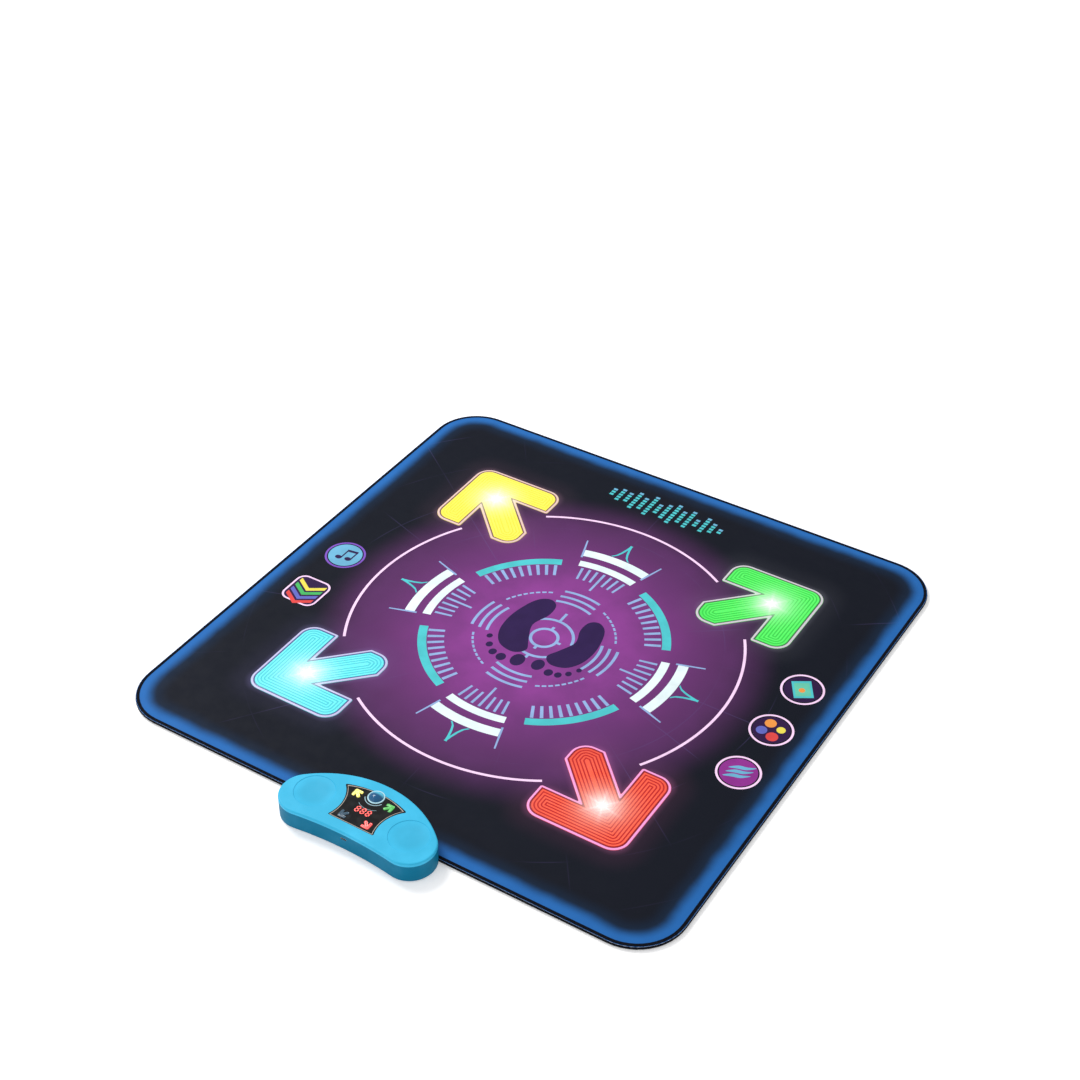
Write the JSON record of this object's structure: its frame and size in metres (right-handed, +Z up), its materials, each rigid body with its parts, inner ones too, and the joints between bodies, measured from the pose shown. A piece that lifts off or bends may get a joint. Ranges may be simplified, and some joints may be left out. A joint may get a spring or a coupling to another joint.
{
  "type": "dance rhythm machine",
  "caption": "Child's light-up dance mat: a square padded mat with sprung, lit arrow pads and a bean-shaped control box with keys, display, speaker and battery bay clamped to one edge.",
  "frame": {"origin": "centre of the mat's underside, on the floor", "axes": "+Z up; +X along the edge that carries the control box; +Y away from the control box, towards the far edge of the mat"},
  "size_m": [0.9, 0.954, 0.0385],
  "materials": {
    "anti_slip": "coarse woven cloth with soft dots",
    "foam": "closed-cell foam",
    "switch_film": "clear polyester film",
    "mat_print": "printed coated fabric, fine leather grain, satin",
    "binding": "folded woven tape, stitched",
    "contact_ink": "printed carbon on film",
    "circuit_board": "solder mask",
    "led": "clear epoxy",
    "pad_green": "translucent, lit from inside",
    "pad_yellow": "translucent, lit from inside",
    "pad_cyan": "translucent, lit from inside",
    "pad_red": "translucent, lit from inside",
    "key_green": "translucent, lit from inside",
    "key_yellow": "translucent, lit from inside",
    "key_cyan": "translucent, dimly lit",
    "key_red": "translucent, lit from inside",
    "steel": "zinc plated",
    "shell_blue": "moulded, fine texture, satin",
    "shell_dark_blue": "moulded, fine texture, satin",
    "lens_black": "polished smoked acrylic",
    "button_blue": "polished, lit rim",
    "ring_pale": "frosted, pale",
    "display_red": "lit digits",
    "black_plastic": "moulded",
    "speaker_paper": "pressed paper",
    "magnet": "plated",
    "cell_jacket": "plain printed jacket",
    "rubber": "soft",
    "wire": "insulated"
  },
  "bodies": {
    "mat": {"base_sheet": "anti_slip", "base_foam": "foam", "lower_membrane": "switch_film", "spacer_foam": "foam", "top_sheet": "mat_print", "edge_binding": "binding", "lower_contacts": "contact_ink", "arrow_leds": "led", "clamp_plate": "steel", "clamp_screws": "steel", "membrane_tail": "switch_film", "bottom_shell": "shell_dark_blue", "top_shell": "shell_blue", "display_lens": "lens_black", "button_ring": "ring_pale", "digit_display": "display_red", "main_board": "circuit_board", "push_switches": "black_plastic", "key_leds": "led", "circuit_chips": "black_plastic", "tail_connector": "black_plastic", "board_screws": "steel", "usb_socket": "steel", "speaker_frame": "steel", "speaker_cone": "speaker_paper", "speaker_magnet": "magnet", "battery_cells": "cell_jacket", "battery_springs": "steel", "battery_plates": "steel", "shell_screws": "steel", "rubber_feet": "rubber", "inner_wires": "wire", "return_foam_green": "foam", "return_foam_yellow": "foam", "return_foam_cyan": "foam", "return_foam_red": "foam", "light_board_green": "circuit_board", "light_board_yellow": "circuit_board", "light_board_cyan": "circuit_board", "light_board_red": "circuit_board"},
    "arrow_green": {"arrow_pad_green": "pad_green", "upper_contact_green": "contact_ink"},
    "arrow_yellow": {"arrow_pad_yellow": "pad_yellow", "upper_contact_yellow": "contact_ink"},
    "arrow_cyan": {"arrow_pad_cyan": "pad_cyan", "upper_contact_cyan": "contact_ink"},
    "arrow_red": {"arrow_pad_red": "pad_red", "upper_contact_red": "contact_ink"},
    "key_green": {"key_green": "key_green", "plunger_green": "black_plastic"},
    "key_yellow": {"key_yellow": "key_yellow", "plunger_yellow": "black_plastic"},
    "key_cyan": {"key_cyan": "key_cyan", "plunger_cyan": "black_plastic"},
    "key_red": {"key_red": "key_red", "plunger_red": "black_plastic"},
    "power_button": {"dome_button": "button_blue", "plunger_power": "black_plastic"},
    "battery_door": {"battery_door": "shell_dark_blue", "door_screw": "steel"}
  },
  "joints": [
    {"name": "arrow_press_green", "type": "slide", "parent": "mat", "child": "arrow_green", "axis": [0, 0, -1], "range_m": [0, 0.0012], "stiffness_N_per_m": 6000, "deforming": ["return_foam_green"]},
    {"name": "arrow_press_yellow", "type": "slide", "parent": "mat", "child": "arrow_yellow", "axis": [0, 0, -1], "range_m": [0, 0.0012], "stiffness_N_per_m": 6000, "deforming": ["return_foam_yellow"]},
    {"name": "arrow_press_cyan", "type": "slide", "parent": "mat", "child": "arrow_cyan", "axis": [0, 0, -1], "range_m": [0, 0.0012], "stiffness_N_per_m": 6000, "deforming": ["return_foam_cyan"]},
    {"name": "arrow_press_red", "type": "slide", "parent": "mat", "child": "arrow_red", "axis": [0, 0, -1], "range_m": [0, 0.0012], "stiffness_N_per_m": 6000, "deforming": ["return_foam_red"]},
    {"name": "key_press_green", "type": "slide", "parent": "mat", "child": "key_green", "axis": [0, 0, -1], "range_m": [0, 0.0008], "stiffness_N_per_m": 1500},
    {"name": "key_press_yellow", "type": "slide", "parent": "mat", "child": "key_yellow", "axis": [0, 0, -1], "range_m": [0, 0.0008], "stiffness_N_per_m": 1500},
    {"name": "key_press_cyan", "type": "slide", "parent": "mat", "child": "key_cyan", "axis": [0, 0, -1], "range_m": [0, 0.0008], "stiffness_N_per_m": 1500},
    {"name": "key_press_red", "type": "slide", "parent": "mat", "child": "key_red", "axis": [0, 0, -1], "range_m": [0, 0.0008], "stiffness_N_per_m": 1500},
    {"name": "power_press", "type": "slide", "parent": "mat", "child": "power_button", "axis": [0, 0, -1], "range_m": [0, 0.001], "stiffness_N_per_m": 1500},
    {"name": "battery_door_open", "type": "hinge", "parent": "mat", "child": "battery_door", "pos_m": [-0.0242, -0.4747, 0.0022], "axis": [0, 1, 0], "range_deg": [0, 75]}
  ]
}
